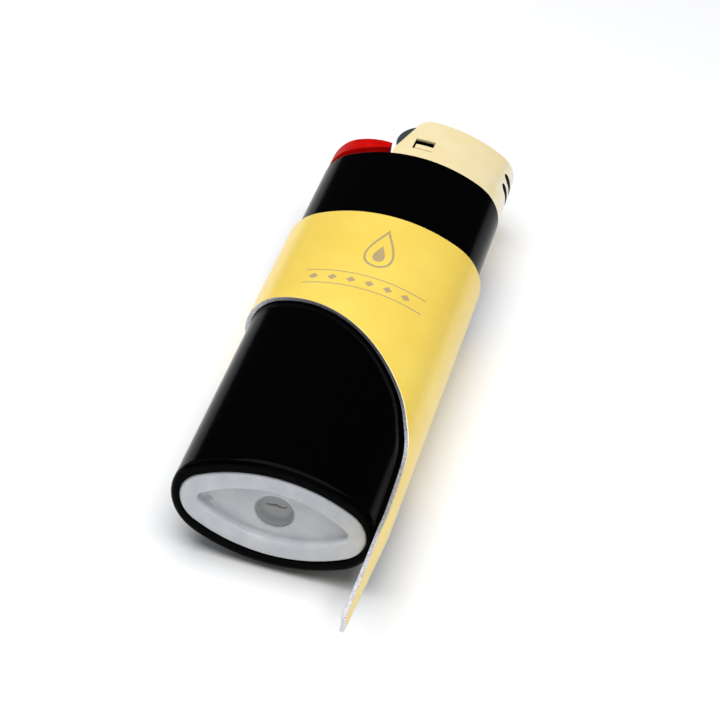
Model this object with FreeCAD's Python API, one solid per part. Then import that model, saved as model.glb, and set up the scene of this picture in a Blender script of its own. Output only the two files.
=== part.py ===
import FreeCAD, Part
import math
import os
from collections import namedtuple

# Pocket gas lighter with a flint wheel, wearing a sheet-metal tool clip that ends in a poker.
# Millimetres. +Y runs from the base to the flame end, +X points to the poker's side and +Z is
# the front face's normal. The origin is on the body's axis, in the plane of the base.

V = FreeCAD.Vector
X_AXIS = V(1, 0, 0)
Y_AXIS = V(0, 1, 0)
Z_AXIS = V(0, 0, 1)

# An oval is four tangent arcs: two broad faces and two round ends.
Oval = namedtuple("Oval", "half_width half_depth end_radius")

# ---- driving dimensions -------------------------------------------------------------------
BODY_OVAL = Oval(12.5, 7.75, 6.25)
BODY_TOP = 68.0
BASE_ROUNDING = 0.8

PLUG_OVAL = Oval(11.38, 6.12, 4.17)
PLUG_PLATE = 2.4
PLUG_SKIRT_TOP = 6.0
TANK_STEP = 0.5
RECESS_OVAL = Oval(9.15, 3.7, 1.0)
RECESS_DEPTH = 1.0
WELL_RADIUS = 2.35
GATE_MARK = (-7.9, -0.5)
BALL_RADIUS = 1.2
BALL_Y = 3.3

DECK_BOTTOM = 66.4
POCKET_FLOOR = 64.8
POCKET_WALL = 1.0
POCKET_RIGHT = -3.2

HOOD_BASE = Oval(12.45, 7.70, 6.20)
HOOD_CROWN = Oval(12.3, 6.1, 3.7)
HOOD_TOP = 80.2
HOOD_SHEET = 0.35
HOOD_EDGE = 0.8
FLAME_RIM = 0.9
HOOD_WINDOW = (-1.25, 1.45, 70.5, 73.6)
VENT_LEVELS = (73.8, 76.2)
VENT_HALF_WIDTH = 0.65
VENT_HALF_LENGTH = 2.2

WHEEL_X = 0.5
WHEEL_Y = 75.5
SPARK_RADIUS = 3.25
SPARK_TOOTH = 0.3
SPARK_TEETH = 32
SPARK_HALF = 1.6
THUMB_RADIUS = 4.8
THUMB_OUT = 5.05
AXLE_RADIUS = 0.75
PIVOT_GAP = 0.05

CHEEK_IN = 5.15
CHEEK_OUT = 6.0
CHEEK_RADIUS = 2.15

PIVOT_X = 1.0
PIVOT_Y = 69.7
ARM_BOTTOM = 68.9
ARM_TOP = 70.45
ARM_OUT = 5.0
FORK_END = 6.9
FORK_SLOT = 0.85
PAD_BOTTOM = 69.5
PAD_RIGHT = -4.1
SKIRT_BOTTOM = 66.4
PAD_CEILING = 71.0
LEVER_SPRING_X = -7.6

JET_X = 6.6
JET_RADIUS = 0.72
JET_GAP = 0.06
JET_TOP = 73.6
SEAT_Y = 61.6
VALVE_BOTTOM = 57.5
VALVE_RADIUS = 2.2
STACK_RADIUS = 1.6
FLANGE_RADIUS = 2.7
FLANGE_TOP = 68.6

FLINT_RADIUS = 1.1
FLINT_GAP = 0.06
FLINT_BOTTOM = 67.0
TUBE_FLOOR = 44.0
TUBE_RADIUS = 2.0

GUARD_IN = 4.6
GUARD_OUT = 4.85
GUARD_HALF = 1.3
GUARD_PIVOT = (4.5, 73.5)
GUARD_PIN = 0.3

CLIP_SHEET = 0.6
CLIP_GAP = 0.22
CLIP_SHIFT = 0.2
CLIP_TOP = 52.0
CLIP_SEAM = 2.5
CUT_CENTRE = (-14.3, 3.8)
CUT_RADIUS = 29.1
SWING_TOP = (20.0, 6.19)
SWING = (SWING_TOP, (17.0, 5.05), (14.0, 3.68), (12.0, 3.2), (9.0, 2.94))
POKER_BEND = 3.0
POKER_TIP = -13.7
POKER_LEAN = 0.97
POKER_HALF = (2.71, 2.6, 1.25)


# ---- shape helpers ------------------------------------------------------------------------
def grown(oval, by):
    """The oval moved outwards by a distance, or inwards if it is negative."""
    return Oval(oval.half_width + by, oval.half_depth + by, oval.end_radius + by)


def arc(first, middle, last):
    return Part.Arc(first, middle, last).toShape()


def oval_wire(oval, y, shift=0.0):
    end_x = oval.half_width - oval.end_radius
    flat = end_x ** 2 + oval.half_depth ** 2 - oval.end_radius ** 2
    face_radius = flat / (2 * (oval.half_depth - oval.end_radius))
    reach = oval.end_radius / (face_radius - oval.end_radius)
    tx = end_x * (1 + reach)
    tz = (face_radius - oval.half_depth) * reach

    def at(x, z):
        return V(x + shift, y, z)

    right = arc(at(tx, -tz), at(oval.half_width, 0), at(tx, tz))
    front = arc(at(tx, tz), at(0, oval.half_depth), at(-tx, tz))
    left = arc(at(-tx, tz), at(-oval.half_width, 0), at(-tx, -tz))
    back = arc(at(-tx, -tz), at(0, -oval.half_depth), at(tx, -tz))
    return Part.Wire([right, front, left, back])


def oval_prism(oval, low, high, shift=0.0):
    return Part.Face(oval_wire(oval, low, shift)).extrude(V(0, high - low, 0))


def y_cylinder(radius, low, high, x=0.0, z=0.0):
    return Part.makeCylinder(radius, high - low, V(x, low, z), Y_AXIS)


def z_cylinder(radius, x, y, low, high):
    return Part.makeCylinder(radius, high - low, V(x, y, low), Z_AXIS)


def block(x0, x1, y0, y1, z0, z1):
    return Part.makeBox(x1 - x0, y1 - y0, z1 - z0, V(x0, y0, z0))


def plate(edges, low, high):
    """A flat outline in the XY plane, extruded from one height to another."""
    face = Part.Face(Part.Wire(edges))
    face.translate(V(0, 0, low))
    return face.extrude(V(0, 0, high - low))


def line(first, last):
    return Part.makeLine(V(first[0], first[1], 0), V(last[0], last[1], 0))


def bend(first, middle, last):
    return arc(*[V(x, y, 0) for x, y in (first, middle, last)])


def polygon_edges(points):
    return [line(a, b) for a, b in zip(points, points[1:] + points[:1])]


def round_edges_at(shape, y, radius):
    """Fillet every edge that lies wholly in the plane at height y."""
    chosen = []
    for edge in shape.Edges:
        box = edge.BoundBox
        if abs(box.YMin - y) < 1e-4 and abs(box.YMax - y) < 1e-4:
            chosen.append(edge)
    return shape.makeFillet(radius, chosen)


def coil(wire_radius, coil_radius, turns, low, high, x):
    """A round-wire compression spring standing along Y, ends inside the given heights."""
    height = high - low - 2 * wire_radius
    helix = Part.makeHelix(height / turns, height, coil_radius)
    ring = Part.Wire(Part.makeCircle(wire_radius, V(coil_radius, 0, 0), Y_AXIS))
    spring = Part.Wire(helix.Edges).makePipeShell([ring], True, True)
    spring.rotate(V(0, 0, 0), X_AXIS, -90)
    spring.translate(V(x, low + wire_radius, 0))
    return spring


# ---- tank and what closes it --------------------------------------------------------------
def tank_shell():
    outer = round_edges_at(oval_prism(BODY_OVAL, 0, BODY_TOP), 0, BASE_ROUNDING)
    mouth = oval_prism(PLUG_OVAL, 0, PLUG_PLATE)
    hollow = oval_prism(grown(PLUG_OVAL, -TANK_STEP), PLUG_PLATE, DECK_BOTTOM)
    under_pocket = block(-13, POCKET_RIGHT + 1.2, POCKET_FLOOR - 1.3, DECK_BOTTOM, -8, 8)
    return outer.cut(mouth).cut(hollow.cut(under_pocket))


def flint_tube():
    tube = y_cylinder(TUBE_RADIUS, TUBE_FLOOR - 1.5, 70.6, WHEEL_X)
    snout = y_cylinder(1.55, 70.6, 71.6, WHEEL_X)
    return tube.fuse(snout)


def web():
    """The wall that stiffens the tank, with two holes that join its chambers."""
    span = grown(PLUG_OVAL, -TANK_STEP + 0.1)
    wall = oval_prism(span, 9.0, DECK_BOTTOM)
    wall = wall.common(block(WHEEL_X - 0.5, WHEEL_X + 0.5, 9.0, DECK_BOTTOM, -8, 8))
    for y in (16.0, 36.0):
        wall = wall.cut(Part.makeCylinder(1.5, 3, V(WHEEL_X - 1.5, y, 0), X_AXIS))
    return wall


def neck():
    """The stepped-in collar that the hood is pushed over."""
    collar = hood_blank(HOOD_SHEET + 0.03, HOOD_TOP)
    collar = collar.common(block(-1.2, 13, BODY_TOP, 70.4, -9, 9))
    return collar.cut(oval_prism(grown(HOOD_BASE, -HOOD_SHEET - 1.1), BODY_TOP, 71))


def cheek(side):
    left = WHEEL_X - CHEEK_RADIUS
    right = WHEEL_X + CHEEK_RADIUS
    outline = [
        line((left, BODY_TOP - 0.1), (right, BODY_TOP - 0.1)),
        line((right, BODY_TOP - 0.1), (right, WHEEL_Y)),
        bend((right, WHEEL_Y), (WHEEL_X, WHEEL_Y + CHEEK_RADIUS), (left, WHEEL_Y)),
        line((left, WHEEL_Y), (left, BODY_TOP - 0.1)),
    ]
    low, high = sorted((side * CHEEK_IN, side * CHEEK_OUT))
    return plate(outline, low, high)


def guard_post():
    """Stands beside the valve's flange and holds the guard's pin."""
    foot = block(3.2, 4.9, DECK_BOTTOM, 72.4, -0.65, 0.65)
    head = block(4.0, 5.0, 72.4, 74.1, -0.65, 0.65)
    room = y_cylinder(FLANGE_RADIUS + 0.05, BODY_TOP, FLANGE_TOP + 0.1, JET_X)
    return foot.fuse(head).cut(room)


def reservoir():
    shape = tank_shell()
    spring_peg = y_cylinder(1.1, POCKET_FLOOR, POCKET_FLOOR + 1.2, LEVER_SPRING_X)
    valve_boss = y_cylinder(3.2, VALVE_BOTTOM - 0.5, DECK_BOTTOM + 0.5, JET_X)
    added = [web(), flint_tube(), neck(), cheek(1), cheek(-1), guard_post(), valve_boss]
    shape = shape.fuse(added)
    pocket = oval_prism(grown(BODY_OVAL, -POCKET_WALL), POCKET_FLOOR, BODY_TOP)
    shape = shape.cut(pocket.common(block(-13, POCKET_RIGHT, 60, BODY_TOP, -8, 8)))
    shape = shape.fuse(spring_peg)
    bores = [
        y_cylinder(FLINT_RADIUS + FLINT_GAP, TUBE_FLOOR, 72, WHEEL_X),
        y_cylinder(VALVE_RADIUS, 50, 69, JET_X),
        z_cylinder(AXLE_RADIUS + PIVOT_GAP, WHEEL_X, WHEEL_Y, -7, 7),
        z_cylinder(AXLE_RADIUS + PIVOT_GAP, PIVOT_X, PIVOT_Y, -6.5, -3),
        z_cylinder(AXLE_RADIUS + PIVOT_GAP, PIVOT_X, PIVOT_Y, 3, 6.5),
        z_cylinder(GUARD_PIN, *GUARD_PIVOT, -1, 1),
    ]
    return shape.cut(bores).removeSplitter()


def base_plug():
    shape = oval_prism(PLUG_OVAL, 0, PLUG_PLATE)
    skirt = oval_prism(grown(PLUG_OVAL, -TANK_STEP), PLUG_PLATE, PLUG_SKIRT_TOP)
    skirt = skirt.cut(oval_prism(grown(PLUG_OVAL, -1.5), PLUG_PLATE, PLUG_SKIRT_TOP))
    boss = y_cylinder(3.6, PLUG_PLATE - 0.4, 7.0)
    recess = oval_prism(RECESS_OVAL, 0, RECESS_DEPTH)
    shape = shape.fuse([skirt, boss]).cut(recess)
    well = y_cylinder(WELL_RADIUS, 0.5, 2.3)
    step = y_cylinder(1.85, 2.0, 2.6)
    bore = y_cylinder(BALL_RADIUS, 2.0, 8.0)
    gate_mark = y_cylinder(0.35, RECESS_DEPTH - 0.1, RECESS_DEPTH + 0.15, *GATE_MARK)
    return shape.cut([well, step, bore, gate_mark])


def filling_ball():
    return Part.makeSphere(BALL_RADIUS, V(0, BALL_Y, 0))


# ---- gas valve ----------------------------------------------------------------------------
def valve_insert():
    body = y_cylinder(VALVE_RADIUS, VALVE_BOTTOM, BODY_TOP, JET_X)
    flange = y_cylinder(FLANGE_RADIUS, BODY_TOP, FLANGE_TOP, JET_X)
    chamber = y_cylinder(1.45, SEAT_Y, 64.4, JET_X)
    jet_bore = y_cylinder(JET_RADIUS + JET_GAP, 64.0, 69.0, JET_X)
    stack_bore = y_cylinder(STACK_RADIUS, VALVE_BOTTOM, 60.9, JET_X)
    seat_hole = y_cylinder(0.3, 60.5, 62.0, JET_X)
    return body.fuse(flange).cut([chamber, jet_bore, stack_bore, seat_hole])


def flow_filter():
    return y_cylinder(STACK_RADIUS, 60.1, 60.9, JET_X)


def filter_washer():
    washer = y_cylinder(STACK_RADIUS, 59.7, 60.1, JET_X)
    return washer.cut(y_cylinder(0.5, 59, 61, JET_X))


def fuel_wick():
    return y_cylinder(STACK_RADIUS - 0.1, 10.0, 59.7, JET_X)


def jet():
    foot = y_cylinder(1.3, 62.4, 63.0, JET_X)
    stem = y_cylinder(JET_RADIUS, 62.8, 71.2, JET_X)
    collar = y_cylinder(1.5, ARM_TOP + 0.05, ARM_TOP + 0.55, JET_X)
    nozzle = Part.makeCone(JET_RADIUS, 0.5, JET_TOP - 71.2, V(JET_X, 71.2, 0), Y_AXIS)
    shape = foot.fuse([stem, collar, nozzle])
    gas_way = y_cylinder(0.2, 64.6, 75, JET_X)
    side_hole = Part.makeCylinder(0.2, 3, V(JET_X - 1.5, 64.8, 0), X_AXIS)
    return shape.cut([gas_way, side_hole])


def valve_seal():
    return y_cylinder(1.3, SEAT_Y, 62.4, JET_X)


# ---- gas lever ----------------------------------------------------------------------------
def thumb_pad():
    """The pad follows the body's oval, and its top falls towards the wheel."""
    profile = [
        line((-13, PAD_BOTTOM), (-13, 73.0)),
        bend((-13, 73.0), (-8.0, 72.7), (PAD_RIGHT, 71.4)),
        line((PAD_RIGHT, 71.4), (PAD_RIGHT, PAD_BOTTOM)),
        line((PAD_RIGHT, PAD_BOTTOM), (-13, PAD_BOTTOM)),
    ]
    pad = oval_prism(grown(BODY_OVAL, -0.1), PAD_BOTTOM, 74)
    pad = pad.common(plate(profile, -9, 9))
    crown = [e for e in pad.Edges if e.BoundBox.YMin > PAD_BOTTOM + 0.5]
    return pad.makeFillet(0.9, crown)


def lever_skirt():
    outline = grown(BODY_OVAL, -POCKET_WALL - 0.25)
    skirt = oval_prism(outline, SKIRT_BOTTOM, PAD_BOTTOM + 0.3)
    return skirt.common(block(-13, PAD_RIGHT - 0.3, 60, 72, -8, 8))


def fork():
    """Two arms run from the pad, past the flint tube, to the jet's collar."""
    outline = [(-5, -ARM_OUT), (3.6, -ARM_OUT), (FORK_END, -2.3), (FORK_END, 2.3)]
    outline += [(3.6, ARM_OUT), (-5, ARM_OUT)]
    corners = [V(x, ARM_BOTTOM, z) for x, z in outline]
    arms = Part.Face(Part.makePolygon(corners + corners[:1]))
    arms = arms.extrude(V(0, ARM_TOP - ARM_BOTTOM, 0))
    tube_gap = y_cylinder(TUBE_RADIUS + 0.3, 68, 71, WHEEL_X)
    slot = block(WHEEL_X, 8, 68, 71, -FORK_SLOT, FORK_SLOT)
    relief = block(0, 3, 0, 1, -3, 3)
    relief.rotate(V(0, 0, 0), Z_AXIS, -9)
    relief.translate(V(JET_X - 0.3, ARM_TOP, 0))
    return arms.cut([tube_gap, slot, relief])


def gas_lever():
    pad_hollow = oval_prism(Oval(10.1, 5.35, 3.85), 60, PAD_CEILING)
    pad_hollow = pad_hollow.common(block(-12, -5.2, 60, 72, -8, 8))
    shape = thumb_pad().fuse(lever_skirt()).cut(pad_hollow)
    peg = y_cylinder(1.1, PAD_CEILING - 1.0, PAD_CEILING + 0.2, LEVER_SPRING_X)
    pins = z_cylinder(AXLE_RADIUS, PIVOT_X, PIVOT_Y, -5.8, 5.8)
    pins = pins.cut(block(0, 2, 68, 71, -ARM_OUT + 0.5, ARM_OUT - 0.5))
    fork_part = fork().cut(block(-12, -5.2, 60, 72, -8, 8))
    return shape.fuse([fork_part, peg, pins]).removeSplitter()


def lever_spring():
    return coil(0.25, 1.45, 6, POCKET_FLOOR, PAD_CEILING, LEVER_SPRING_X)


# ---- spark wheel, flint and guard ---------------------------------------------------------
def wheel_axle():
    return z_cylinder(AXLE_RADIUS, WHEEL_X, WHEEL_Y, -5.95, 5.95)


def spark_wheel():
    """Hardened wheel with a saw-toothed rim that shaves the flint."""
    points = []
    for tooth in range(SPARK_TEETH):
        for radius, part in ((SPARK_RADIUS, 0.0), (SPARK_RADIUS - SPARK_TOOTH, 0.35)):
            angle = 2 * math.pi * (tooth + part) / SPARK_TEETH
            x = WHEEL_X + radius * math.cos(angle)
            y = WHEEL_Y + radius * math.sin(angle)
            points.append((x, y))
    wheel = plate(polygon_edges(points), -SPARK_HALF, SPARK_HALF)
    return wheel.cut(wheel_axle())


def thumb_wheel(side):
    """Smooth roller with a rounded rim and a dished outer face."""
    width = THUMB_OUT - SPARK_HALF
    roller = Part.makeCylinder(THUMB_RADIUS, width)
    rims = [e for e in roller.Edges if e.BoundBox.ZLength < 1e-6]
    roller = roller.makeFillet(0.35, rims)
    dish = Part.makeCone(2.5, 3.3, 0.6, V(0, 0, width - 0.6))
    hub = Part.makeCylinder(1.5, 0.6, V(0, 0, width - 0.6))
    bore = Part.makeCylinder(AXLE_RADIUS, width)
    roller = roller.cut(dish.cut(hub)).cut(bore)
    if side < 0:
        roller.rotate(V(0, 0, 0), X_AXIS, 180)
    roller.translate(V(WHEEL_X, WHEEL_Y, side * SPARK_HALF))
    return roller


def flint():
    rod = y_cylinder(FLINT_RADIUS, FLINT_BOTTOM, WHEEL_Y, WHEEL_X)
    return rod.cut(z_cylinder(SPARK_RADIUS + 0.03, WHEEL_X, WHEEL_Y, -3, 3))


def flint_spring():
    return coil(0.16, 0.85, 18, TUBE_FLOOR, FLINT_BOTTOM, WHEEL_X)


def guard_band():
    """Springy band over the spark wheel, hung on a pin by two ears."""
    ring = z_cylinder(GUARD_OUT, WHEEL_X, WHEEL_Y, -GUARD_HALF, GUARD_HALF)
    ring = ring.cut(z_cylinder(GUARD_IN, WHEEL_X, WHEEL_Y, -GUARD_HALF, GUARD_HALF))
    ring = ring.cut(block(-5, 6, 70, 74.1, -2, 2))
    tail_in = WHEEL_X + GUARD_IN
    ring = ring.cut(block(WHEEL_X, 6, 70, WHEEL_Y, -2, 2))
    tail = block(tail_in, WHEEL_X + GUARD_OUT, 72.9, WHEEL_Y, -GUARD_HALF, GUARD_HALF)
    pin_x, pin_y = GUARD_PIVOT
    ears = []
    for low, high in ((-GUARD_HALF, -0.75), (0.75, GUARD_HALF)):
        ear = block(pin_x, tail_in + 0.1, pin_y - 0.6, pin_y + 0.6, low, high)
        ears.append(ear.fuse(z_cylinder(0.6, pin_x, pin_y, low, high)))
    shape = ring.fuse([tail] + ears)
    return shape.cut(z_cylinder(GUARD_PIN + PIVOT_GAP, pin_x, pin_y, -2, 2)).removeSplitter()


def guard_pin():
    return z_cylinder(GUARD_PIN, *GUARD_PIVOT, -GUARD_HALF, GUARD_HALF)


# ---- hood ---------------------------------------------------------------------------------
def hood_blank(inset, top):
    """Solid block of the hood's drawn shape, pulled in by the inset."""
    base = oval_wire(grown(HOOD_BASE, -inset), BODY_TOP)
    crown = oval_wire(grown(HOOD_CROWN, -inset), HOOD_TOP)
    blank = Part.makeLoft([base, crown], True, True)
    if top < HOOD_TOP:
        blank = blank.common(block(-14, 14, BODY_TOP, top, -9, 9))
    return blank


def hood_side_outline():
    """Seen from the front: the edge beside the wheel leans and rounds into the top."""
    edges = [
        line((-3.5, BODY_TOP), (13, BODY_TOP)),
        line((13, BODY_TOP), (13, HOOD_TOP)),
        line((13, HOOD_TOP), (0.6, HOOD_TOP)),
        bend((0.6, HOOD_TOP), (-1.15, 79.2), (-1.95, 77.2)),
        line((-1.95, 77.2), (-3.5, 70.2)),
        line((-3.5, 70.2), (-3.5, BODY_TOP)),
    ]
    return plate(edges, -9, 9)


def latch_tongue(side):
    """A springy tab in the window's lower half, held at its right and free on three sides."""
    left, right, low, _ = HOOD_WINDOW
    wall = hood_blank(0, HOOD_TOP).cut(hood_blank(HOOD_SHEET, HOOD_TOP))
    tab = block(left + 0.3, right + 0.1, low + 0.22, low + 1.4, *sorted((side * 5, side * 9)))
    return wall.common(tab)


def hood():
    outer = round_edges_at(hood_blank(0, HOOD_TOP), HOOD_TOP, HOOD_EDGE)
    ceiling = HOOD_TOP - HOOD_SHEET
    inner = round_edges_at(hood_blank(HOOD_SHEET, ceiling), ceiling, HOOD_EDGE - HOOD_SHEET)
    shell = outer.cut(inner).common(hood_side_outline())
    flame_hole = oval_prism(grown(HOOD_CROWN, -FLAME_RIM), ceiling - 1, HOOD_TOP + 1)
    flame_hole = flame_hole.common(block(-14, 8.9, 70, 82, -9, 9))
    windows = block(*HOOD_WINDOW, -9, 9)
    cuts = [flame_hole, windows]
    half, reach = VENT_HALF_WIDTH, VENT_HALF_LENGTH
    for y in VENT_LEVELS:
        slot = block(9, 13, y - half, y + half, -reach, reach)
        ends = [Part.makeCylinder(half, 4, V(9, y, z), X_AXIS) for z in (-reach, reach)]
        cuts += [slot] + ends
    shell = shell.cut(cuts)
    return shell.fuse([latch_tongue(1), latch_tongue(-1)]).removeSplitter()


# ---- tool clip ----------------------------------------------------------------------------
def poker_section(y, apex, half):
    """Cross-section of the strip: a piece of the band's round side, as one closed wire."""
    bow = BODY_OVAL.end_radius + CLIP_GAP + CLIP_SHEET

    def at(radius, z):
        x = apex - bow + math.sqrt(radius ** 2 - z ** 2)
        return V(x, y, z)

    inside = bow - CLIP_SHEET
    inner_half = half * inside / bow
    outer = arc(at(bow, -half), at(bow, 0), at(bow, half))
    inner = arc(at(inside, inner_half), at(inside, 0), at(inside, -inner_half))
    first = Part.makeLine(at(bow, half), at(inside, inner_half))
    last = Part.makeLine(at(inside, -inner_half), at(bow, -half))
    return Part.Wire([outer, first, inner, last])


def poker(apex):
    """Past the bend the strip leans inwards and tapers faster, then ends square."""
    share = POKER_BEND / (POKER_BEND - POKER_TIP)
    sections = [
        poker_section(POKER_BEND, apex, POKER_HALF[0]),
        poker_section(0, apex - POKER_LEAN * share, POKER_HALF[1]),
        poker_section(POKER_TIP, apex - POKER_LEAN, POKER_HALF[2]),
    ]
    return Part.makeLoft(sections, True, True)


def strip_side(side):
    """One edge seen from the right: the cut-out's arc swings in and runs on as the strip."""
    swing = Part.BSplineCurve()
    swing.interpolate(
        Points=[V(0, y, side * z) for y, z in SWING],
        InitialTangent=V(0, -1, -0.37 * side),
        FinalTangent=V(0, -1, -0.04 * side),
    )
    y, z = SWING[-1]
    end = V(0, POKER_BEND, side * POKER_HALF[0])
    return [swing.toShape(), Part.makeLine(V(0, y, side * z), end)]


def strip_window():
    """Everything right of the cut-out that the strip's side view leaves standing."""
    top, half_top = SWING_TOP
    edges = [Part.makeLine(V(0, top, -half_top), V(0, top, half_top))]
    edges += strip_side(1)
    edges.append(Part.makeLine(V(0, POKER_BEND, POKER_HALF[0]), V(0, POKER_BEND, -POKER_HALF[0])))
    edges += strip_side(-1)[::-1]
    window = Part.Face(Part.Wire(edges))
    window.translate(V(5, 0, 0))
    return window.extrude(V(10, 0, 0))


def tool_clip():
    tube = grown(BODY_OVAL, CLIP_GAP + CLIP_SHEET)
    prism = oval_prism(tube, POKER_BEND, CLIP_TOP, CLIP_SHIFT)
    walls = Part.Shell([f for f in prism.Faces if f.BoundBox.YLength > 1])
    cut_x, cut_y = CUT_CENTRE
    cut_out = z_cylinder(CUT_RADIUS, cut_x, cut_y, -10, 10)
    low = block(-15, 15, 0, SWING_TOP[0], -10, 10)
    seam = block(-CLIP_SEAM, CLIP_SEAM, 0, 60, -10, 0)
    upper = walls.cut([cut_out, seam, low])
    lower = walls.common(strip_window())
    skin = Part.Shell(upper.Faces + lower.Faces)
    band = skin.makeOffsetShape(-CLIP_SHEET, 1e-4, fill=True)
    return band.fuse(poker(tube.half_width + CLIP_SHIFT)).removeSplitter()


# ---- write every piece --------------------------------------------------------------------
PIECES = {
    "reservoir": reservoir,
    "base_plug": base_plug,
    "filling_ball": filling_ball,
    "valve_insert": valve_insert,
    "flow_filter": flow_filter,
    "filter_washer": filter_washer,
    "fuel_wick": fuel_wick,
    "jet": jet,
    "valve_seal": valve_seal,
    "gas_lever": gas_lever,
    "lever_spring": lever_spring,
    "wheel_axle": wheel_axle,
    "spark_wheel": spark_wheel,
    "thumb_wheel_front": lambda: thumb_wheel(1),
    "thumb_wheel_back": lambda: thumb_wheel(-1),
    "flint": flint,
    "flint_spring": flint_spring,
    "guard_band": guard_band,
    "guard_pin": guard_pin,
    "hood": hood,
    "tool_clip": tool_clip,
}

os.makedirs("parts", exist_ok=True)
for name, build in PIECES.items():
    shape = build()
    if len(shape.Solids) == 1:
        shape = shape.Solids[0]
    print(name, shape.ShapeType, "valid" if shape.isValid() else "NOT VALID", round(shape.Volume, 2))
    shape.exportStep("parts/" + name + ".step")
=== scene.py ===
import math

import bmesh
import bpy
from mathutils import Matrix, Vector


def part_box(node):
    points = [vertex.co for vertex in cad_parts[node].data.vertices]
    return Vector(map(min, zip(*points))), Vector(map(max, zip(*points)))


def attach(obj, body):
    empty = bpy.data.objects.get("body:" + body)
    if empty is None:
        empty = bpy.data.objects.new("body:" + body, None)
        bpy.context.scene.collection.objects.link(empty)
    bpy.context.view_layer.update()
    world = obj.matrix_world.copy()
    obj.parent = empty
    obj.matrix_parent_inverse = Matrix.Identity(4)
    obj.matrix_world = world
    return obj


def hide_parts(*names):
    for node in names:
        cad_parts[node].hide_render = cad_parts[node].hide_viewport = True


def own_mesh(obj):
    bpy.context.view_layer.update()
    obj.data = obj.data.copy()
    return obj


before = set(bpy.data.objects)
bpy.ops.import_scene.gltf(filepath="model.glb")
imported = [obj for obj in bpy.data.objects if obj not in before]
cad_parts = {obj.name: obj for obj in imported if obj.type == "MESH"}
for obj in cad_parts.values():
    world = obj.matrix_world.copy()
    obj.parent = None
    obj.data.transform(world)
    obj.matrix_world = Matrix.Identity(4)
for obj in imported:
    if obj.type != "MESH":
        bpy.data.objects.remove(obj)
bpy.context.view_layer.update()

# Looks for the pocket lighter and its tool clip. The frame is the CAD's own: +Y from base to
# flame end, +X towards the poker, +Z out of the front face. Lengths are in millimetres, and
# are scaled by MM where they enter the scene.
MM = 0.001

# ---- sizes shared with the CAD ------------------------------------------------------------
# An oval is (half width, half depth, end radius) of four tangent arcs.
BODY_OVAL = (12.5, 7.75, 6.25)
PLUG_OVAL = (11.38, 6.12, 4.17)
PLUG_PLATE = 2.4
PLUG_SKIRT_TOP = 6.0
PLUG_BOSS_RADIUS = 3.6
PLUG_BOSS_TOP = 7.0
RECESS_OVAL = (9.15, 3.7, 1.0)
RECESS_DEPTH = 1.0
WELL_RADIUS = 2.35
WELL_FLOOR = 2.3
BORE_RADIUS = 1.2
GATE_MARK = (-7.9, -0.5)
CLIP_SHEET = 0.6
CLIP_GAP = 0.22
CLIP_SHIFT = 0.2
CLIP_TOP = 52.0
CLIP_SEAM = 2.5
CUT_CENTRE = (-14.3, 3.8)
CUT_RADIUS = 29.1
# The strip and the poker as (height, half width) from the cut-out down to the tip.
STRIP_TOP = (20.0, 6.19)
STRIP = (STRIP_TOP, (17.0, 5.05), (14.0, 3.68), (12.0, 3.2), (9.0, 2.94), (3.0, 2.71))
POKER = ((3.0, 2.71), (0.0, 2.6), (-13.7, 1.25))
POKER_LEAN = 0.97
# Both side vents of the hood lie past VENT_SIDE and within VENT_REACH of VENT_MIDDLE.
VENT_SIDE = 9.0
VENT_MIDDLE = 75.0
VENT_REACH = 2.4

# ---- moulded details of the base plug -------------------------------------------------------
PLUG_EDGE = 0.45
PLUG_GAP = 0.03
SKIRT_OUTSIDE = 0.55
SKIRT_INSIDE = 1.5
RECESS_FLOOR_INSET = 0.8
RECESS_FOOT = 0.3
RECESS_FOOT_INSET = 0.1
RECESS_LIP = 0.4
RECESS_LIP_INSET = 0.08
SMALLEST_TIP = 0.12
WELL_LIP = 0.25
GATE_RADIUS = 0.45

# ---- plastic pressed shut over the filling ball ---------------------------------------------
SKIN_RADIUS = 2.33
SKIN_TAPER = 0.95
SKIN_FLAT = 1.7
SKIN_FACE = 1.86
SKIN_BACK = 2.05
SKIN_DOME = 0.07
SKIN_COVE = 1.6
SEAM_Z = 0.33
SEAM_REACH = 1.4
SEAM_DEPTH = 0.13
SEAM_WIDTH = 0.10
SEAM_SWELL = (0.15, 0.4, 0.06)
SEAM_WAVES = ((0.07, 4, 2.1), (0.03, 13, 0.0), (0.015, 29, 0.0))
SEAM_SHADED = 0.4
LIP_HEIGHT = 0.04
LIP_OFFSETS = (0.24, -0.26)

# ---- engraved motif -------------------------------------------------------------------------
DROP_FOOT = (0.9, 40.4)
# Outline, its inner edge and the core as (rise above the foot, fullness, height).
DROPS = ((0.0, 5.51, 8.6), (0.42, 4.655, 7.3), (1.3, 2.185, 3.6))
BORDER_CENTRE = 0.6
RULE_HEIGHTS = (38.2, 35.4)
RULE_REACH = 7.8
RULE_HALF_WIDTH = 0.1
DIAMOND_HEIGHT = 36.8
DIAMOND_PITCH = 2.4
DIAMOND_HALF = 0.62
DIAMOND_REACH = 7.2

# ---- stage ----------------------------------------------------------------------------------
FLOOR_SIZE = 3000.0
FLOOR_CENTRE = 30.0
SKY_COLOUR = (0.78, 0.88, 1.0, 1.0)
SKY_STRENGTH = 0.07
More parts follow.
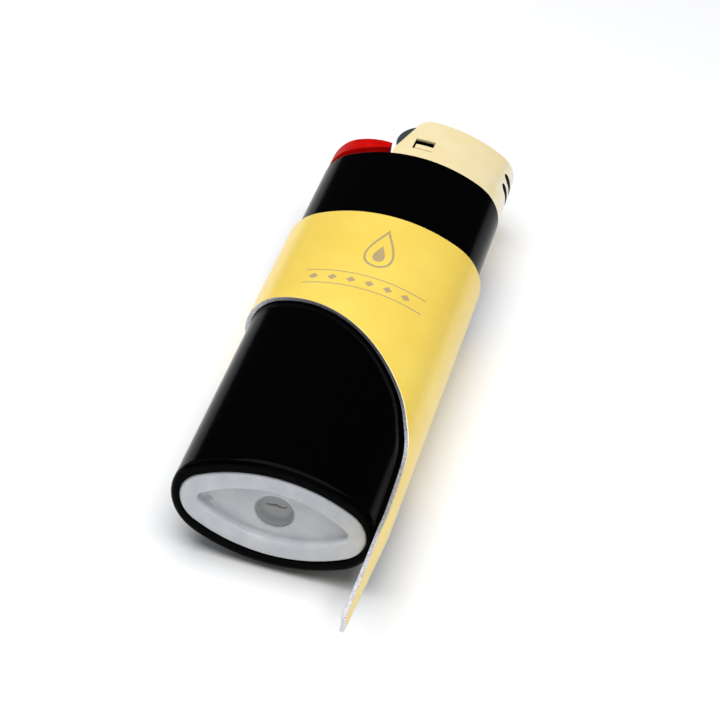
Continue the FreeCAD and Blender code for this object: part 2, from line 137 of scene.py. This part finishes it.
# Name, place, aim, size, watts and colour of each soft light.
LIGHTS = (
    ("top_light", (-10, 0, 400), (0, 25, 0), (520, 400), 2.75, (1.0, 1.0, 1.0)),
    ("left_light", (-420, 20, 240), (0, 40, 0), (260, 300), 0.3, (0.88, 0.94, 1.0)),
    ("right_light", (420, 60, 260), (0, 40, 0), (260, 300), 0.12, (1.0, 0.98, 0.94)),
    ("front_light", (0, -420, 200), (0, 0, 0), (300, 200), 0.15, (1.0, 1.0, 1.0)),
)
CAMERA_AZIMUTH = 9.12
CAMERA_ELEVATION = 38.63
CAMERA_ROLL = 8.72
CAMERA_TARGET = (2.24, 32.2, 0.0)
CAMERA_DISTANCE = 307.0
CAMERA_LENS = 122.0
CAMERA_SENSOR = 36.0


# ---- node-tree helpers --------------------------------------------------------------------
class Value:
    """A number inside a node tree; arithmetic on it adds Math nodes."""

    def __init__(self, tree, socket):
        self.tree = tree
        self.socket = socket

    def math(self, operation, *others):
        node = self.tree.nodes.new("ShaderNodeMath")
        node.operation = operation
        for index, item in enumerate((self,) + others):
            if isinstance(item, Value):
                self.tree.links.new(item.socket, node.inputs[index])
            else:
                node.inputs[index].default_value = item
        return Value(self.tree, node.outputs[0])

    def __add__(self, other):
        return self.math("ADD", other)

    def __sub__(self, other):
        return self.math("SUBTRACT", other)

    def __mul__(self, other):
        return self.math("MULTIPLY", other)

    def __truediv__(self, other):
        return self.math("DIVIDE", other)

    def __abs__(self):
        return self.math("ABSOLUTE")

    def below(self, other):
        return self.math("LESS_THAN", other)

    def above(self, other):
        return self.math("GREATER_THAN", other)

    def clamped(self):
        return self.math("MAXIMUM", 0.0).math("MINIMUM", 1.0)

    def between(self, low, high):
        """0 below low, 1 above high, smooth in between."""
        node = self.tree.nodes.new("ShaderNodeMapRange")
        node.interpolation_type = "SMOOTHSTEP"
        self.tree.links.new(self.socket, node.inputs["Value"])
        node.inputs["From Min"].default_value = low
        node.inputs["From Max"].default_value = high
        return Value(self.tree, node.outputs["Result"])


class Shader:
    """One material under construction, with coordinates in millimetres in the row frame."""

    def __init__(self, name):
        self.material = bpy.data.materials.new(name)
        self.material.use_nodes = True
        self.tree = self.material.node_tree
        self.tree.nodes.clear()
        output = self.tree.nodes.new("ShaderNodeOutputMaterial")
        self.surface = self.tree.nodes.new("ShaderNodeBsdfPrincipled")
        self.tree.links.new(self.surface.outputs[0], output.inputs[0])
        coordinates = self.tree.nodes.new("ShaderNodeTexCoord")
        scale = self.tree.nodes.new("ShaderNodeVectorMath")
        scale.operation = "SCALE"
        scale.inputs["Scale"].default_value = 1.0 / MM
        self.tree.links.new(coordinates.outputs["Object"], scale.inputs[0])
        self.position = scale.outputs[0]
        split = self.tree.nodes.new("ShaderNodeSeparateXYZ")
        self.tree.links.new(self.position, split.inputs[0])
        self.x, self.y, self.z = (Value(self.tree, split.outputs[i]) for i in range(3))

    def stretched(self, x, y, z):
        node = self.tree.nodes.new("ShaderNodeVectorMath")
        node.operation = "MULTIPLY"
        self.tree.links.new(self.position, node.inputs[0])
        node.inputs[1].default_value = (x, y, z)
        return node.outputs[0]

    def noise(self, scale, detail, stretch=None, roughness=0.55):
        node = self.tree.nodes.new("ShaderNodeTexNoise")
        node.inputs["Scale"].default_value = scale
        node.inputs["Detail"].default_value = detail
        node.inputs["Roughness"].default_value = roughness
        source = self.stretched(*stretch) if stretch else self.position
        self.tree.links.new(source, node.inputs["Vector"])
        return Value(self.tree, node.outputs["Fac"])

    def blend(self, share, first, second):
        """A colour that goes from first to second as share goes from 0 to 1."""
        node = self.tree.nodes.new("ShaderNodeMix")
        node.data_type = "RGBA"
        self.tree.links.new(share.socket, node.inputs["Factor"])
        for socket, colour in ((node.inputs["A"], first), (node.inputs["B"], second)):
            if isinstance(colour, tuple):
                socket.default_value = (*colour, 1.0)
            else:
                self.tree.links.new(colour, socket)
        return node.outputs["Result"]

    def bump(self, height, distance, strength, after=None):
        node = self.tree.nodes.new("ShaderNodeBump")
        node.inputs["Strength"].default_value = strength
        node.inputs["Distance"].default_value = distance * MM
        self.tree.links.new(height.socket, node.inputs["Height"])
        if after is not None:
            self.tree.links.new(after, node.inputs["Normal"])
        return node.outputs["Normal"]

    def rounded(self, radius):
        """Shading normal that softens sharp edges, as moulding and polishing do."""
        node = self.tree.nodes.new("ShaderNodeBevel")
        node.samples = 4
        node.inputs["Radius"].default_value = radius * MM
        return node.outputs["Normal"]

    def outward(self):
        """How far a face looks away from the body's long axis; negative faces look inwards."""
        geometry = self.tree.nodes.new("ShaderNodeNewGeometry")
        node = self.tree.nodes.new("ShaderNodeVectorMath")
        node.operation = "DOT_PRODUCT"
        self.tree.links.new(geometry.outputs["Normal"], node.inputs[0])
        self.tree.links.new(self.stretched(1.0, 0.0, 1.0), node.inputs[1])
        return Value(self.tree, node.outputs["Value"])

    def use(self, **inputs):
        """Set or link Principled inputs; underscores stand for spaces."""
        for key, item in inputs.items():
            socket = self.surface.inputs[key.replace("_", " ")]
            if isinstance(item, Value):
                self.tree.links.new(item.socket, socket)
            elif isinstance(item, bpy.types.NodeSocket):
                self.tree.links.new(item, socket)
            elif socket.type == "RGBA":
                socket.default_value = (*item, 1.0)
            else:
                socket.default_value = item
        return self.material


# ---- materials ----------------------------------------------------------------------------
def black_acetal():
    s = Shader("black_acetal")
    ripple = s.noise(0.09, 2.0, stretch=(1.0, 0.35, 1.0))
    grain = s.noise(6.0, 6.0)
    dust = s.noise(14.0, 8.0, roughness=0.7).between(0.66, 0.74)
    normal = s.bump(ripple, 0.25, 0.2, after=s.rounded(0.15))
    normal = s.bump(grain, 0.004, 0.3, after=normal)
    return s.use(
        Base_Color=s.blend(dust * 0.3, (0.0006, 0.0006, 0.0008), (0.012, 0.012, 0.014)),
        Roughness=grain * 0.07 + 0.11,
        IOR=1.09,
        Normal=normal,
    )


def natural_acetal():
    s = Shader("natural_acetal")
    cloud = s.noise(0.35, 5.0)
    flow = s.noise(1.6, 3.0, stretch=(0.35, 1.0, 1.2))
    fine = s.noise(9.0, 6.0)
    # Painted shade: the white darkens deeper in the recess, and is painted dark grey deep in the
    # well within the well's radius across.
    depth = s.y.between(0.35, 1.6)
    well = s.y.between(1.2, 1.75) * abs(s.x).below(WELL_RADIUS)
    pale = s.blend(cloud.between(0.35, 0.7), (0.55, 0.57, 0.61), (0.64, 0.65, 0.67))
    shaded = s.blend(depth * 0.55, pale, (0.46, 0.47, 0.50))
    normal = s.bump(flow, 0.05, 0.35, after=s.rounded(0.18))
    normal = s.bump(fine, 0.006, 0.4, after=normal)
    return s.use(
        Base_Color=s.blend(well * 0.6, shaded, (0.24, 0.24, 0.24)),
        Roughness=fine * 0.15 + 0.34,
        Subsurface_Weight=0.35,
        Subsurface_Radius=(1.0, 1.0, 1.0),
        Subsurface_Scale=1.2 * MM,
        Normal=normal,
    )


def seam_shade():
    s = Shader("seam_shade")
    fine = s.noise(9.0, 6.0)
    return s.use(
        Base_Color=s.blend(fine, (0.10, 0.105, 0.10), (0.20, 0.205, 0.20)),
        Roughness=fine * 0.2 + 0.5,
        Normal=s.bump(fine, 0.02, 0.5),
    )


def red_plastic():
    s = Shader("red_plastic")
    cloud = s.noise(0.5, 4.0)
    fine = s.noise(8.0, 6.0)
    normal = s.bump(fine, 0.006, 0.35, after=s.rounded(0.2))
    return s.use(
        Base_Color=s.blend(cloud.between(0.3, 0.75), (0.44, 0.002, 0.001), (0.53, 0.004, 0.002)),
        Roughness=fine * 0.16 + 0.34,
        IOR=1.15,
        Specular_IOR_Level=0.3,
        Normal=normal,
    )


def pale_gold_hood():
    s = Shader("pale_gold_hood")
    cloud = s.noise(0.25, 4.0)
    brushed = s.noise(5.0, 5.0, stretch=(0.25, 3.0, 0.6))
    pits = s.noise(3.5, 8.0, roughness=0.75).between(0.68, 0.76)
    # Painted highlight: the hood turns paler and whiter towards its +X end.
    end_highlight = (s.x + cloud * 3.0).between(11.5, 15.0)
    cream = s.blend(cloud.between(0.35, 0.7), (0.95, 0.78, 0.43), (0.97, 0.83, 0.50))
    colour = s.blend(end_highlight, cream, (0.92, 0.87, 0.74))
    normal = s.bump(brushed, 0.01, 0.25, after=s.rounded(0.08))
    normal = s.bump(pits, 0.02, 0.35, after=normal)
    colour = s.blend(pits * 0.35, colour, (0.55, 0.44, 0.24))
    # Painted shade: faces that look inwards, and the walls of the side vents, are painted near
    # black.
    facing = s.outward()
    vents = s.x.above(VENT_SIDE) * abs(s.y - VENT_MIDDLE).below(VENT_REACH)
    painted_inner_shade = (facing.below(-1.0) + facing.below(4.0) * vents).clamped()
    return s.use(
        Base_Color=s.blend(painted_inner_shade, colour, (0.03, 0.028, 0.024)),
        Metallic=0.12,
        Roughness=brushed * 0.12 + 0.30,
        Coat_Weight=0.5,
        Coat_Roughness=0.2,
        Normal=normal,
    )


def flame_drop(u, v, fullness, height):
    """1 inside a drop that stands on v = 0 and points along +v; fullness scales its width."""
    t = (v / height).clamped()
    bulge = t.math("POWER", 0.5) * (t * -1.0 + 1.0).math("POWER", 1.25)
    inside = abs(u).below(bulge * fullness)
    return inside * v.above(0.0) * v.below(height)


def engraved_motif(s):
    """Generic engraving: a drop outline with a small drop inside, two rules and diamonds."""
    u = s.x - DROP_FOOT[0]
    v = s.y - DROP_FOOT[1]
    outline, inner, core = (flame_drop(u, v - rise, full, height) for rise, full, height in DROPS)
    drop = outline - inner + core
    along = abs(s.x - BORDER_CENTRE)
    upper, lower = (abs(s.y - height).below(RULE_HALF_WIDTH) for height in RULE_HEIGHTS)
    rules = (upper + lower) * along.below(RULE_REACH)
    repeat = s.x / DIAMOND_PITCH
    cell = abs(repeat.math("FRACT") - 0.5) * DIAMOND_PITCH
    diamond = (cell + abs(s.y - DIAMOND_HEIGHT)).below(DIAMOND_HALF)
    diamonds = diamond * along.below(DIAMOND_REACH)
    front = s.z.above(0.0)
    return ((drop + rules + diamonds) * front).clamped()


def gold_coating():
    s = Shader("gold_coating")
    cloud = s.noise(0.12, 3.0)
    brushed = s.noise(4.0, 6.0, stretch=(3.0, 0.12, 3.0))
    grain = s.noise(11.0, 6.0)
    motif = engraved_motif(s)
    gold = s.blend(cloud.between(0.3, 0.75), (0.93, 0.66, 0.10), (0.96, 0.72, 0.13))
    gold = s.blend(brushed.between(0.45, 0.8) * 0.25, gold, (0.84, 0.60, 0.12))
    height = brushed * 0.3 + grain * 0.2 - motif
    return s.use(
        Base_Color=s.blend(motif * 0.85, gold, (0.36, 0.28, 0.18)),
        Metallic=0.2,
        Roughness=brushed * 0.1 + motif * 0.2 + 0.36,
        Coat_Weight=0.45,
        Coat_Roughness=0.22,
        Normal=s.bump(height, 0.02, 0.5),
    )


def bare_edge():
    s = Shader("bare_edge")
    streak = s.noise(3.0, 8.0, roughness=0.75).between(0.35, 0.65)
    fine = s.noise(14.0, 6.0)
    return s.use(
        Base_Color=s.blend(streak, (0.50, 0.49, 0.53), (0.85, 0.84, 0.88)),
        Metallic=1.0,
        Roughness=fine * 0.2 + 0.36,
        Normal=s.bump(streak, 0.03, 0.5),
    )


def steel(name, dark, light, roughness):
    s = Shader(name)
    streak = s.noise(6.0, 6.0, stretch=(1.0, 1.0, 0.3))
    fine = s.noise(18.0, 6.0)
    return s.use(
        Base_Color=s.blend(streak, dark, light),
        Metallic=1.0,
        Roughness=fine * 0.16 + roughness,
        Normal=s.bump(streak, 0.008, 0.4, after=s.rounded(0.05)),
    )


def soft_part(name, dark, light, roughness):
    s = Shader(name)
    fibre = s.noise(4.0, 8.0, stretch=(2.0, 0.4, 2.0), roughness=0.7)
    return s.use(
        Base_Color=s.blend(fibre, dark, light),
        Roughness=fibre * 0.2 + roughness,
        Normal=s.bump(fibre, 0.05, 0.6),
    )


def pale_floor():
    s = Shader("pale_floor")
    cloud = s.noise(0.004, 3.0)
    return s.use(
        Base_Color=s.blend(cloud, (0.84, 0.84, 0.85), (0.88, 0.88, 0.88)),
        Roughness=0.75,
        Specular_IOR_Level=0.2,
    )


# ---- mesh helpers -------------------------------------------------------------------------
def oval_arcs(oval, inset=0.0):
    """The four arcs of an oval as (centre x, centre z, radius, start, end), from +X round."""
    half_width, half_depth, end_radius = (size - inset for size in oval)
    end_x = half_width - end_radius
    flat = end_x ** 2 + half_depth ** 2 - end_radius ** 2
    face_radius = flat / (2 * (half_depth - end_radius))
    drop = face_radius - half_depth
    turn = math.atan2(drop, end_x)
    return [
        (end_x, 0.0, end_radius, 0.0, turn),
        (0.0, -drop, face_radius, turn, math.pi - turn),
        (-end_x, 0.0, end_radius, math.pi - turn, math.pi + turn),
        (0.0, drop, face_radius, math.pi + turn, 2 * math.pi - turn),
        (end_x, 0.0, end_radius, -turn, 0.0),
    ]


def walk(arcs, count):
    """Points spread evenly by length along closed arcs, first point at the start."""
    lengths = [abs(end - start) * radius for _, _, radius, start, end in arcs]
    total = sum(lengths)
    points = []
    for step in range(count):
        left = total * step / count
        for (cx, cz, radius, start, end), length in zip(arcs, lengths):
            if left <= length:
                angle = start + (end - start) * left / length
                points.append((cx + radius * math.cos(angle), cz + radius * math.sin(angle)))
                break
            left -= length
    return points


def oval_points(oval, inset, count):
    return walk(oval_arcs(oval, inset), count)


def circle_points(radius, count):
    return walk([(0.0, 0.0, radius, 0.0, 2 * math.pi)], count)


def lens_points(inset, count):
    """The lens-shaped recess: two shallow arcs joined by blunt tips."""
    half, rise, tip = RECESS_OVAL
    return oval_points((half - inset, rise - inset, max(tip - inset, SMALLEST_TIP)), 0.0, count)


def mesh_object(name, vertices, faces, material_indices=None):
    mesh = bpy.data.meshes.new(name)
    scaled = [tuple(part * MM for part in vertex) for vertex in vertices]
    mesh.from_pydata(scaled, [], faces)
    if material_indices:
        mesh.polygons.foreach_set("material_index", material_indices)
    mesh.update()
    made = bmesh.new()
    made.from_mesh(mesh)
    bmesh.ops.recalc_face_normals(made, faces=made.faces)
    made.to_mesh(mesh)
    made.free()
    item = bpy.data.objects.new(name, mesh)
    bpy.context.scene.collection.objects.link(item)
    return item


def smooth(item, angle=35.0):
    item.data.shade_smooth()
    item.data.set_sharp_from_angle(angle=math.radians(angle))


def ring_solid(name, rings):
    """Closed skin through rings of equal length; the last ring joins the first."""
    count = len(rings[0])
    vertices = [point for ring in rings for point in ring]
    faces = []
    for r in range(len(rings)):
        here = r * count
        there = ((r + 1) % len(rings)) * count
        for i in range(count):
            j = (i + 1) % count
            faces.append((here + i, here + j, there + j, there + i))
    return mesh_object(name, vertices, faces)


def lifted(points, y):
    return [(x, y, z) for x, z in points]


# ---- base plug ----------------------------------------------------------------------------
def quarter(steps):
    """Sine and cosine pairs through a quarter turn, for rounded edges."""
    angles = [math.pi / 2 * step / steps for step in range(steps + 1)]
    return [(math.sin(angle), math.cos(angle)) for angle in angles]


def well_rings(count):
    """From inside the bore out over the stepped well to the recess floor."""
    radius_and_height = [
        (BORE_RADIUS, PLUG_BOSS_TOP),
        (BORE_RADIUS, 2.75),
        (1.32, 2.62),
        (1.75, 2.55),
        (1.88, 2.42),
        (1.92, WELL_FLOOR),
        (2.2, WELL_FLOOR - 0.1),
        (2.32, 1.95),
        (WELL_RADIUS, 1.35),
    ]
    for rise, run in quarter(4):
        radius = WELL_RADIUS + WELL_LIP * (1 - run)
        radius_and_height.append((radius, RECESS_DEPTH + WELL_LIP * (1 - rise)))
    return [lifted(circle_points(radius, count), y) for radius, y in radius_and_height]


def recess_rings(count):
    """Up the recess wall, with a soft foot and a soft lip."""
    rings = [lifted(lens_points(RECESS_FLOOR_INSET, count), RECESS_DEPTH)]
    for rise, run in quarter(4):
        inset = RECESS_FOOT_INSET + RECESS_FOOT * (1 - rise)
        rings.append(lifted(lens_points(inset, count), RECESS_DEPTH - RECESS_FOOT * (1 - run)))
    for rise, run in quarter(5):
        inset = RECESS_LIP_INSET - RECESS_LIP * (1 - run)
        rings.append(lifted(lens_points(inset, count), RECESS_LIP * (1 - rise)))
    return rings


def plug_outside_rings(count):
    """Over the plate's rim, down the skirt and back inside it to the boss."""
    rings = []
    for rise, run in quarter(5):
        inset = PLUG_EDGE * (1 - rise) + PLUG_GAP
        rings.append(lifted(oval_points(PLUG_OVAL, inset, count), PLUG_EDGE * (1 - run)))
    for inset, y in (
        (PLUG_GAP, PLUG_PLATE),
        (SKIRT_OUTSIDE, PLUG_PLATE),
        (SKIRT_OUTSIDE, PLUG_SKIRT_TOP),
        (SKIRT_INSIDE, PLUG_SKIRT_TOP),
        (SKIRT_INSIDE, PLUG_PLATE),
    ):
        rings.append(lifted(oval_points(PLUG_OVAL, inset, count), y))
    rings.append(lifted(circle_points(PLUG_BOSS_RADIUS, count), PLUG_PLATE))
    rings.append(lifted(circle_points(PLUG_BOSS_RADIUS, count), PLUG_BOSS_TOP))
    return rings


def moulded_plug():
    """White base plug with soft moulded edges, one closed skin from the well round and back."""
    count = 192
    rings = well_rings(count) + recess_rings(count) + plug_outside_rings(count)
    item = ring_solid("moulded_plug", rings)
    smooth(item)
    return item


def gate_pip():
    """The small crater left where the mould's gate was cut."""
    x, z = GATE_MARK
    crater = [(0.04, 0.02), (0.12, 0.0), (0.24, -0.13), (0.36, -0.12), (GATE_RADIUS, 0.0)]
    foot = [(GATE_RADIUS, 0.1), (0.04, 0.1)]
    rings = []
    for radius, y in crater + foot:
        ring = lifted(circle_points(radius, 24), RECESS_DEPTH + y)
        rings.append([(px + x, py, pz + z) for px, py, pz in ring])
    item = ring_solid("gate_pip", rings)
    smooth(item)
    return item


def seam(x, z):
    """From 0 on the plain skin to 1 in the middle of the ragged seam."""
    wander = sum(high * math.sin(pace * x + phase) for high, pace, phase in SEAM_WAVES)
    middle, spread, extra = SEAM_SWELL
    width = SEAM_WIDTH + extra * math.exp(-((x - middle) / spread) ** 2)
    ends = max(0.0, 1.0 - (x / SEAM_REACH) ** 6)
    return ends * math.exp(-((z - SEAM_Z - wander) / width) ** 2)


def skin_height(x, z):
    """Slightly domed face that turns up into the well's wall, with lips beside the seam."""
    radius = math.hypot(x, z)
    dome = SKIN_DOME * min((radius / SKIN_FLAT) ** 2, 1.0)
    cove = SKIN_COVE * max(radius - SKIN_FLAT, 0.0) ** 2
    lip = LIP_HEIGHT * sum(seam(x, z - offset) for offset in LIP_OFFSETS)
    return SKIN_FACE + dome - cove - lip + SEAM_DEPTH * seam(x, z)


def closing_skin():
    """Plastic pressed shut over the filling ball; faces inside the seam are numbered 1."""
    steps = 84
    across = [2 * step / steps - 1 for step in range(steps + 1)]
    flat = []
    for v in across:
        for u in across:
            x = SKIN_RADIUS * u * math.sqrt(1 - v * v / 2)
            z = SKIN_RADIUS * v * math.sqrt(1 - u * u / 2)
            flat.append((x, z))
    vertices = [(x, skin_height(x, z), z) for x, z in flat]
    vertices += [(x * SKIN_TAPER, SKIN_BACK, z * SKIN_TAPER) for x, z in flat]
    side = steps + 1
    faces, kinds, rim = [], [], set()
    for row in range(steps):
        for column in range(steps):
            a = row * side + column
            face = (a, a + 1, a + 1 + side, a + side)
            back = tuple(corner + side * side for corner in face[::-1])
            faces += [face, back]
            kinds += [1 if seam(*flat[a]) > SEAM_SHADED else 0, 0]
            rim.update(zip(face, face[1:] + face[:1]))
    for a, b in sorted(rim):
        if (b, a) not in rim:
            faces.append((b, a, a + side * side, b + side * side))
            kinds.append(0)
    item = mesh_object("closing_skin", vertices, faces, kinds)
    smooth(item, 60)
    return item


# ---- tool clip ----------------------------------------------------------------------------
BAND_ROWS = 24
STRIP_COLUMNS = 20
RIM_SOFTNESS = 0.06


def eased(stations, y):
    """Value at y on a smooth curve through (y, value) stations given from high y to low y."""
    slopes = [(b[1] - a[1]) / (b[0] - a[0]) for a, b in zip(stations, stations[1:])]
    tangents = [slopes[0]]
    for before, after in zip(slopes, slopes[1:]):
        tangents.append((before + after) / 2)
    tangents.append(slopes[-1])
    for k, ((y0, v0), (y1, v1)) in enumerate(zip(stations, stations[1:])):
        if y >= y1:
            span = y1 - y0
            t = (y - y0) / span
            start = (1 + 2 * t) * (1 - t) ** 2 * v0 + t * (1 - t) ** 2 * span * tangents[k]
            end = t * t * (3 - 2 * t) * v1 + t * t * (t - 1) * span * tangents[k + 1]
            return start + end
    return stations[-1][1]


def straight(stations, y):
    """Value at y on straight lines through (y, value) stations given from high y to low y."""
    for (y0, v0), (y1, v1) in zip(stations, stations[1:]):
        if y >= y1:
            return v0 + (v1 - v0) * (y0 - y) / (y0 - y1)
    return stations[-1][1]


def tube_oval():
    grow = CLIP_GAP + CLIP_SHEET
    return tuple(size + grow for size in BODY_OVAL)


def strip_point(y, share, depth):
    """A point of the strip: share runs -1 to 1 across it, depth is below the outer face."""
    bend = POKER[0][0]
    half = eased(STRIP, y) if y > bend else straight(POKER, y)
    lean = max(bend - y, 0.0) / (bend - POKER[-1][0]) * POKER_LEAN
    bow = tube_oval()[2]
    z = share * half * (bow - depth) / bow
    x = tube_oval()[0] + CLIP_SHIFT - lean - bow + math.sqrt((bow - depth) ** 2 - z ** 2)
    return (x, y, z)


def cut_out_height(x):
    """Height of the cut-out's edge above a point across the body."""
    reach = CUT_RADIUS ** 2 - (x - CUT_CENTRE[0]) ** 2
    return max(CUT_CENTRE[1] + math.sqrt(max(reach, 0.0)), STRIP_TOP[0])


def spread(start, end, count):
    """Count values from start, stopping one step before end."""
    return [start + (end - start) * step / count for step in range(count)]


def clip_columns():
    """(arc, angle, share of the strip or None) for each column of the band, seam to seam."""
    right, front, left, back, _ = oval_arcs(tube_oval())
    turn = right[4]
    strip_edge = STRIP_TOP[1] / right[2]
    right_seam = 1.5 * math.pi + math.asin((CLIP_SEAM - CLIP_SHIFT) / back[2])
    left_seam = 1.5 * math.pi - math.asin((CLIP_SEAM + CLIP_SHIFT) / back[2])
    columns = [(back, angle, None) for angle in spread(right_seam, 2 * math.pi - turn, 26)]
    columns.append((right, -turn, None))
    for step in range(2 * STRIP_COLUMNS + 1):
        share = step / STRIP_COLUMNS - 1
        columns.append((right, math.asin(share * strip_edge), share))
    columns += [(front, angle, None) for angle in spread(turn, math.pi - turn, 60)]
    columns += [(left, angle, None) for angle in spread(math.pi - turn, math.pi + turn, 40)]
    columns += [(back, angle, None) for angle in spread(math.pi + turn, left_seam, 25)]
    columns.append((back, left_seam, None))
    return columns


def strip_levels():
    """Heights of the strip's rows, closer together where its edges swing in."""
    swing_end, bend, tip = STRIP[-2][0], POKER[0][0], POKER[-1][0]
    levels = spread(STRIP_TOP[0], swing_end, 22)
    levels += spread(swing_end, bend, 6)
    levels += spread(bend, tip, 16)
    return levels[1:] + [tip]


def clip_surface(depth):
    """Rows of points for one face of the sheet: a list of columns, each from top to edge."""
    levels = strip_levels()
    columns = []
    for (cx, cz, radius, _, _), angle, share in clip_columns():
        outer_x = cx + radius * math.cos(angle) + CLIP_SHIFT
        x = cx + (radius - depth) * math.cos(angle) + CLIP_SHIFT
        z = cz + (radius - depth) * math.sin(angle)
        low = STRIP_TOP[0] if share is not None else cut_out_height(outer_x)
        points = [(x, y, z) for y in spread(CLIP_TOP, low, BAND_ROWS) + [low]]
        if share is not None:
            points += [strip_point(y, share, depth) for y in levels]
        columns.append(points)
    return columns


def clip_sheet():
    """The clip's two faces and the cut rim that joins them, rim faces numbered 1."""
    vertices, faces, kinds = [], [], []
    index = []
    for depth in (0.0, CLIP_SHEET):
        rows = []
        for column in clip_surface(depth):
            start = len(vertices)
            vertices.extend(column)
            rows.append(list(range(start, start + len(column))))
        index.append(rows)
    rim = set()
    for side, rows in enumerate(index):
        for left, right in zip(rows, rows[1:]):
            for i in range(min(len(left), len(right)) - 1):
                face = (left[i], left[i + 1], right[i + 1], right[i])
                faces.append(face if side else face[::-1])
                kinds.append(0)
                if side == 0:
                    rim.update(zip(face, face[1:] + face[:1]))
    offset = index[1][0][0] - index[0][0][0]
    for a, b in sorted(rim):
        if (b, a) not in rim:
            faces.append((a, b, b + offset, a + offset))
            kinds.append(1)
    item = mesh_object("clip_sheet", vertices, faces, kinds)
    soften = item.modifiers.new("soft_edges", "BEVEL")
    soften.width = RIM_SOFTNESS * MM
    soften.segments = 2
    soften.angle_limit = math.radians(50)
    smooth(item, 50)
    return item


# ---- build --------------------------------------------------------------------------------
def paint(item, *materials):
    """Set an item's materials in order; its faces keep the material numbers they have."""
    slots = item.data.materials
    for index, material in enumerate(materials):
        if index < len(slots):
            slots[index] = material
        else:
            slots.append(material)


def replacement(item, node, slot, body, *materials):
    """Show this item in place of a CAD node, on the body that node rides on."""
    paint(item, *materials)
    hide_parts(node)
    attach(item, body)


def plug_detail(item, *materials):
    """A small piece of the base plug that only the visual model has."""
    paint(item, *materials)
    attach(item, "tank")


def shortening_spring(node, material):
    """A copy of a CAD coil, shown in its place on the tank."""
    item = bpy.data.objects.new(node + "_coil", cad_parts[node].data.copy())
    bpy.context.scene.collection.objects.link(item)
    replacement(item, node, "plain_steel", "tank", material)
    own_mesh(item)


def cad_looks(plain):
    """The material each CAD node is shown with."""
    brass = steel("valve_brass", (0.60, 0.42, 0.16), (0.82, 0.62, 0.28), 0.25)
    roller = steel("roller_steel", (0.36, 0.46, 0.48), (0.56, 0.65, 0.67), 0.2)
    return {
        "reservoir": black_acetal(),
        "filling_ball": steel("worn_steel", (0.34, 0.34, 0.34), (0.52, 0.52, 0.52), 0.6),
        "valve_insert": brass,
        "jet": brass,
        "wheel_axle": plain,
        "guard_band": plain,
        "guard_pin": plain,
        "thumb_wheel_front": roller,
        "thumb_wheel_back": roller,
        "spark_wheel": steel("hard_steel", (0.06, 0.06, 0.065), (0.16, 0.16, 0.165), 0.3),
        "flint": steel("flint_alloy", (0.09, 0.085, 0.08), (0.2, 0.19, 0.18), 0.45),
        "filter_washer": steel("washer_aluminium", (0.6, 0.6, 0.61), (0.8, 0.8, 0.8), 0.3),
        "flow_filter": soft_part("filter_foam", (0.55, 0.53, 0.46), (0.8, 0.78, 0.7), 0.7),
        "fuel_wick": soft_part("wick_fibre", (0.6, 0.57, 0.5), (0.86, 0.84, 0.78), 0.8),
        "valve_seal": soft_part("seal_rubber", (0.012, 0.012, 0.012), (0.03, 0.03, 0.03), 0.6),
        "gas_lever": red_plastic(),
        "hood": pale_gold_hood(),
    }


def build_object():
    plain = steel("plain_steel", (0.42, 0.42, 0.43), (0.66, 0.66, 0.67), 0.25)
    for node, material in cad_looks(plain).items():
        paint(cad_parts[node], material)
    shortening_spring("lever_spring", plain)
    shortening_spring("flint_spring", plain)

    white = natural_acetal()
    replacement(moulded_plug(), "base_plug", "natural_acetal", "tank", white)
    plug_detail(gate_pip(), white)
    plug_detail(closing_skin(), white, seam_shade())
    replacement(clip_sheet(), "tool_clip", "gold_clip", "clip", gold_coating(), bare_edge())


# ---- stage --------------------------------------------------------------------------------
def build_floor():
    low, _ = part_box("tool_clip")
    place = (0.0, FLOOR_CENTRE * MM, low.z)
    bpy.ops.mesh.primitive_plane_add(size=FLOOR_SIZE * MM, location=place)
    floor = bpy.context.object
    floor.name = "floor"
    paint(floor, pale_floor())


def area_light(name, place, aim, size, power, colour):
    data = bpy.data.lights.new(name, "AREA")
    data.shape = "RECTANGLE"
    data.size, data.size_y = (side * MM for side in size)
    data.energy = power
    data.color = colour
    item = bpy.data.objects.new(name, data)
    bpy.context.scene.collection.objects.link(item)
    item.location = Vector(place) * MM
    direction = (Vector(aim) - Vector(place)).normalized()
    item.rotation_euler = direction.to_track_quat("-Z", "Y").to_euler()


def build_lights():
    world = bpy.data.worlds.new("studio")
    bpy.context.scene.world = world
    world.use_nodes = True
    background = world.node_tree.nodes["Background"]
    background.inputs["Color"].default_value = SKY_COLOUR
    background.inputs["Strength"].default_value = SKY_STRENGTH
    for light in LIGHTS:
        area_light(*light)


def build_camera():
    azimuth = math.radians(CAMERA_AZIMUTH)
    elevation = math.radians(CAMERA_ELEVATION)
    back = Vector((
        math.sin(azimuth) * math.cos(elevation),
        -math.cos(azimuth) * math.cos(elevation),
        math.sin(elevation),
    ))
    level_right = Vector((math.cos(azimuth), math.sin(azimuth), 0.0))
    level_up = back.cross(level_right)
    roll = math.radians(CAMERA_ROLL)
    right = level_right * math.cos(roll) + level_up * math.sin(roll)
    up = level_up * math.cos(roll) - level_right * math.sin(roll)
    data = bpy.data.cameras.new("main_view")
    data.lens = CAMERA_LENS
    data.sensor_width = CAMERA_SENSOR
    data.clip_start = 0.01
    camera = bpy.data.objects.new("main_view", data)
    bpy.context.scene.collection.objects.link(camera)
    place = (Vector(CAMERA_TARGET) + back * CAMERA_DISTANCE) * MM
    axes = Matrix((right, up, back)).transposed().to_4x4()
    camera.matrix_world = Matrix.Translation(place) @ axes
    bpy.context.scene.camera = camera


build_object()
build_floor()
build_lights()
build_camera()
bpy.context.scene.view_settings.view_transform = "Standard"
